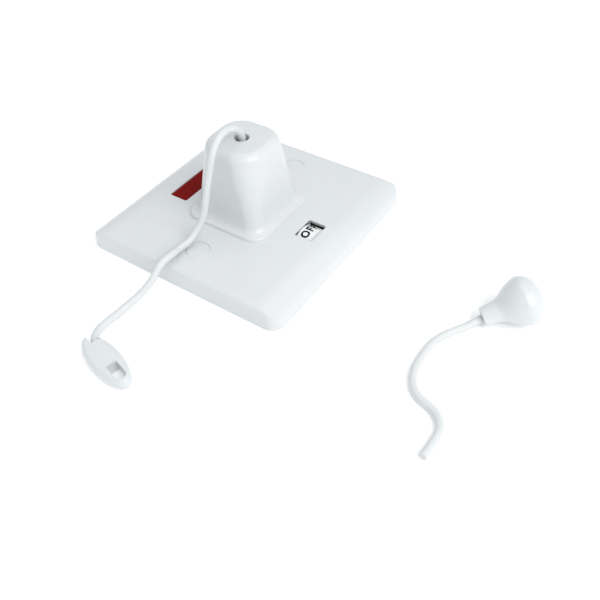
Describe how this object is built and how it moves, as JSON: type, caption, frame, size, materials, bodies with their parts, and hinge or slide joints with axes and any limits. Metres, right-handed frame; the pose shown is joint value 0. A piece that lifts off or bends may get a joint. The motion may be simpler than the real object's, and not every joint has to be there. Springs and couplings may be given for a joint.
{
  "type": "ceiling pull cord switch",
  "caption": "Square switch plate with a hollow tower, a pull cord with a connector, a loose lower cord with a flared knob, and an indicator that slides past a window.",
  "frame": {"origin": "centre of the square plate in the plane of its back rim", "axes": "+Z out of the tower, the way the cord leaves; +X towards the ON/OFF window; the two fixing screws lie on the Y axis"},
  "size_m": [0.1569, 0.1313, 0.0452],
  "materials": {
    "plate_plastic": "white moulded urea, satin gloss",
    "cap_plastic": "white moulded plastic, satin gloss",
    "knob_plastic": "white moulded plastic, glossy",
    "connector_plastic": "white moulded plastic, satin",
    "cord_white": "white cord, smooth",
    "lens_red": "dark red moulded lens, ribbed",
    "lamp_glass": "clear",
    "resistor_body": "lacquered",
    "base_moulding": "moulded thermoset, matt",
    "acetal": "natural moulded acetal",
    "rotor_moulding": "moulded nylon, matt",
    "indicator_white": "white moulded plastic",
    "brass": "turned and stamped",
    "screw_steel": "zinc plated",
    "spring_steel": "drawn wire and strip"
  },
  "bodies": {
    "root": {"front_plate": "plate_plastic", "fixing_cap_front": "cap_plastic", "neon_lens": "lens_red", "neon_carrier": "base_moulding", "neon_lamp": "lamp_glass", "neon_resistor": "resistor_body", "mechanism_base": "base_moulding", "base_screws": "screw_steel", "slider_guide": "base_moulding", "return_spring": "spring_steel", "detent_spring": "spring_steel", "indicator_track": "base_moulding", "earth_terminal": "brass", "terminal_screws": "screw_steel", "fixed_contact_line_in": "brass", "terminal_line_in": "brass", "fixed_contact_line_out": "brass", "terminal_line_out": "brass", "fixed_contact_neutral_in": "brass", "terminal_neutral_in": "brass", "fixed_contact_neutral_out": "brass", "terminal_neutral_out": "brass"},
    "slider": {"pull_slider": "acetal", "cord_ferrule": "brass", "upper_cord": "cord_white", "cord_connector": "connector_plastic"},
    "pinion": {"drive_pinion": "acetal", "flip_pawl": "rotor_moulding"},
    "rotor": {"cam_rotor": "rotor_moulding", "catch_wheel": "brass", "detent_star": "acetal", "indicator_pinion": "acetal", "shaft_clip": "spring_steel", "moving_contact_line": "brass", "moving_contact_neutral": "brass"},
    "indicator": {"indicator_slide": "indicator_white"},
    "cap_rear": {"fixing_cap_rear": "cap_plastic"},
    "lower_pull": {"lower_cord": "cord_white", "pull_knob": "knob_plastic", "knob_knot": "brass"}
  },
  "joints": [
    {"name": "cord_pull", "type": "slide", "parent": "root", "child": "slider", "axis": [0, 0, 1], "range_m": [0, 0.00628], "stiffness_N_per_m": 400, "springref_m": -0.004, "deforming": ["return_spring"]},
    {"name": "pinion_turn", "type": "hinge", "parent": "root", "child": "pinion", "pos_m": [0, 0, 0.0132], "axis": [-1, 0, 0], "range_deg": [0, 90]},
    {"name": "rotor_turn", "type": "hinge", "parent": "root", "child": "rotor", "pos_m": [0, 0, 0.0132], "axis": [-1, 0, 0], "range_deg": [0, 90]},
    {"name": "indicator_slide", "type": "slide", "parent": "root", "child": "indicator", "axis": [0, -1, 0], "range_m": [0, 0.01005]},
    {"name": "cap_rear_lift", "type": "slide", "parent": "root", "child": "cap_rear", "axis": [0, 0, 1], "range_m": [0, 0.008]},
    {"name": "lower_pull_lift", "type": "slide", "parent": "root", "child": "lower_pull", "axis": [0, 0, 1], "range_m": [0, 0.03]}
  ],
  "couplings": [
    {"joint": "pinion_turn", "follows": "cord_pull", "rad_per_m": 250},
    {"joint": "rotor_turn", "follows": "indicator_slide", "rad_per_m": 156.25}
  ]
}
